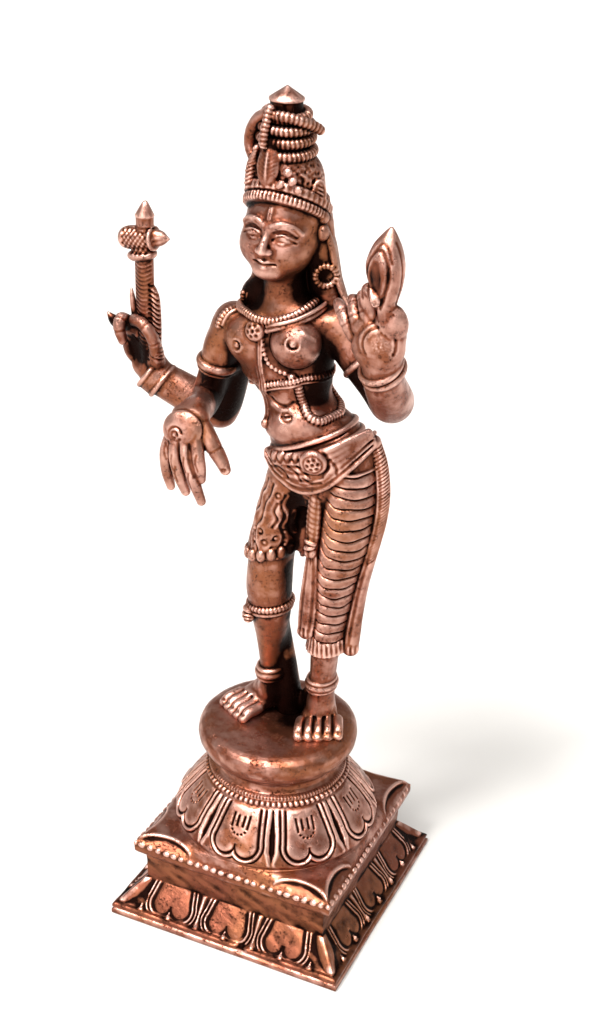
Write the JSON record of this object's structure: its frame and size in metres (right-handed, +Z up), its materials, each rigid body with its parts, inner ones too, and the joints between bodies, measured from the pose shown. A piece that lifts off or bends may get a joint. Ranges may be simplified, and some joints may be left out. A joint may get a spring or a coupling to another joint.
{
  "type": "ardhanarishvara figurine on a lotus pedestal",
  "caption": "Standing four-armed figurine, half draped and half bare-legged, holding a hatchet and a bud, fixed on a square petalled pedestal.",
  "frame": {"origin": "middle of the square pedestal's underside", "axes": "+Z up; the figure faces -Y and its right side is at -X"},
  "size_m": [0.0888, 0.07, 0.2323],
  "materials": {
    "pedestal": "copper-red patinated metal, dark in the recesses",
    "figure": "copper-red patinated metal, worn bright on the raised parts"
  },
  "bodies": {
    "root": {"pedestal": "pedestal", "figure": "figure"}
  },
  "joints": []
}
